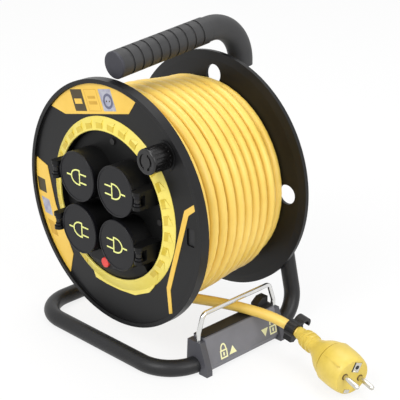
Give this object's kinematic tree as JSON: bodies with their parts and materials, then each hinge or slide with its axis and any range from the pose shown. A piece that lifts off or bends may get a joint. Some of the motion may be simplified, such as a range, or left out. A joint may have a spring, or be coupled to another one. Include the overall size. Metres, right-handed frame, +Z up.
{
  "type": "extension cord reel",
  "caption": "Free-standing extension cord reel on a bent tube frame, with covered sockets in the drum face, a crank knob, a reset button and a cord guide.",
  "frame": {"origin": "on the floor, midway across the width and the depth of the reel without its free cord", "axes": "+X right as seen by someone facing the sockets, +Y from the sockets to the back, +Z up"},
  "size_m": [0.3703, 0.216, 0.2987],
  "materials": {
    "axle_bolt": "zinc plated",
    "axle_nut": "zinc plated",
    "axle_spacer": "fine satin moulding",
    "base_frame": "satin black powder coat",
    "cord_clip": "fine satin moulding",
    "cord_inlet": "soft rubber",
    "cord_tail": "smooth sheath",
    "core_screws": "zinc plated",
    "cover_1": "fine satin moulding",
    "cover_2": "fine satin moulding",
    "cover_3": "fine satin moulding",
    "cover_4": "fine satin moulding",
    "cover_springs": "zinc plated",
    "crank_knob": "fine satin moulding",
    "drum_core": "fine satin moulding",
    "earth_bar": "drawn strip",
    "earth_clip_1": "drawn strip",
    "earth_clip_2": "drawn strip",
    "earth_clip_3": "drawn strip",
    "earth_clip_4": "drawn strip",
    "free_cord": "smooth sheath",
    "front_flange": "fine satin moulding",
    "grip_end_cap": "matt rubber",
    "guide_front_end": "fine satin moulding",
    "guide_lug": "fine satin moulding",
    "guide_pad": "soft rubber",
    "guide_rear_end": "fine satin moulding",
    "guide_shell": "fine satin moulding",
    "guide_wire": "polished",
    "handle_grip": "matt grip rubber",
    "hinge_pins": "zinc plated",
    "hub_bracket": "satin black powder coat",
    "hub_bushes": "natural acetal",
    "inner_wires": "single cores",
    "knob_pin": "zinc plated",
    "left_label": "smooth gloss",
    "live_bar": "drawn strip",
    "neutral_bar": "drawn strip",
    "plate_screws": "zinc plated",
    "plug_body": "moulded",
    "plug_cap": "moulded",
    "plug_earth_clip": "nickel plated",
    "plug_pins": "nickel plated",
    "plug_relief": "moulded",
    "rear_flange": "fine satin moulding",
    "reset_button": "gloss",
    "side_stripe": "smooth gloss",
    "socket_1": "fine satin moulding",
    "socket_2": "fine satin moulding",
    "socket_3": "fine satin moulding",
    "socket_4": "fine satin moulding",
    "socket_contacts": "drawn strip",
    "socket_plate": "fine satin moulding",
    "terminal_block": "moulded",
    "thermal_cutout": "moulded",
    "top_label": "smooth gloss",
    "trim_ring": "smooth gloss",
    "upright_tube": "satin black powder coat",
    "wound_cord": "smooth sheath"
  },
  "bodies": {
    "frame": {"axle_bolt": "axle_bolt", "axle_nut": "axle_nut", "axle_spacer": "axle_spacer", "base_frame": "base_frame", "cord_clip": "cord_clip", "free_cord": "free_cord", "grip_end_cap": "grip_end_cap", "guide_front_end": "guide_front_end", "guide_lug": "guide_lug", "guide_pad": "guide_pad", "guide_rear_end": "guide_rear_end", "guide_shell": "guide_shell", "handle_grip": "handle_grip", "hub_bracket": "hub_bracket", "plug_body": "plug_body", "plug_cap": "plug_cap", "plug_earth_clip": "plug_earth_clip", "plug_pins": "plug_pins", "plug_relief": "plug_relief", "upright_tube": "upright_tube"},
    "drum": {"cord_inlet": "cord_inlet", "cord_tail": "cord_tail", "core_screws": "core_screws", "cover_springs": "cover_springs", "drum_core": "drum_core", "earth_bar": "earth_bar", "earth_clip_1": "earth_clip_1", "earth_clip_2": "earth_clip_2", "earth_clip_3": "earth_clip_3", "earth_clip_4": "earth_clip_4", "front_flange": "front_flange", "hinge_pins": "hinge_pins", "hub_bushes": "hub_bushes", "inner_wires": "inner_wires", "knob_pin": "knob_pin", "left_label": "left_label", "live_bar": "live_bar", "neutral_bar": "neutral_bar", "plate_screws": "plate_screws", "rear_flange": "rear_flange", "side_stripe": "side_stripe", "socket_1": "socket_1", "socket_2": "socket_2", "socket_3": "socket_3", "socket_4": "socket_4", "socket_contacts": "socket_contacts", "socket_plate": "socket_plate", "terminal_block": "terminal_block", "thermal_cutout": "thermal_cutout", "top_label": "top_label", "trim_ring": "trim_ring", "wound_cord": "wound_cord"},
    "reset_button": {"reset_button": "reset_button"},
    "crank_knob": {"crank_knob": "crank_knob"},
    "guide_wire": {"guide_wire": "guide_wire"},
    "cover_1": {"cover_1": "cover_1"},
    "cover_2": {"cover_2": "cover_2"},
    "cover_3": {"cover_3": "cover_3"},
    "cover_4": {"cover_4": "cover_4"}
  },
  "joints": [
    {"name": "drum_spin", "type": "hinge", "parent": "frame", "child": "drum", "pos_m": [0, 0, 0.142], "axis": [0, 1, 0], "continuous": true},
    {"name": "crank_spin", "type": "hinge", "parent": "drum", "child": "crank_knob", "pos_m": [0.0724, -0.09, 0.20952], "axis": [0, -1, 0], "continuous": true},
    {"name": "cover_1_swing", "type": "hinge", "parent": "drum", "child": "cover_1", "pos_m": [-0.0575, -0.0975, 0.1685], "axis": [0, 0, -1], "range_deg": [0, 100], "stiffness_Nm_per_rad": 0.02, "springref_deg": -20.05},
    {"name": "cover_2_swing", "type": "hinge", "parent": "drum", "child": "cover_2", "pos_m": [0.0575, -0.0975, 0.1685], "axis": [0, 0, 1], "range_deg": [0, 100], "stiffness_Nm_per_rad": 0.02, "springref_deg": -20.05},
    {"name": "cover_3_swing", "type": "hinge", "parent": "drum", "child": "cover_3", "pos_m": [-0.0575, -0.0975, 0.1155], "axis": [0, 0, -1], "range_deg": [0, 100], "stiffness_Nm_per_rad": 0.02, "springref_deg": -20.05},
    {"name": "cover_4_swing", "type": "hinge", "parent": "drum", "child": "cover_4", "pos_m": [0.0575, -0.0975, 0.1155], "axis": [0, 0, 1], "range_deg": [0, 100], "stiffness_Nm_per_rad": 0.02, "springref_deg": -20.05},
    {"name": "reset_press", "type": "slide", "parent": "drum", "child": "reset_button", "axis": [0, 1, 0], "range_m": [0, 0.002], "stiffness_N_per_m": 900, "springref_m": -0.001},
    {"name": "guide_press", "type": "slide", "parent": "frame", "child": "guide_wire", "axis": [0, 0, -1], "range_m": [0, 0.006]}
  ]
}
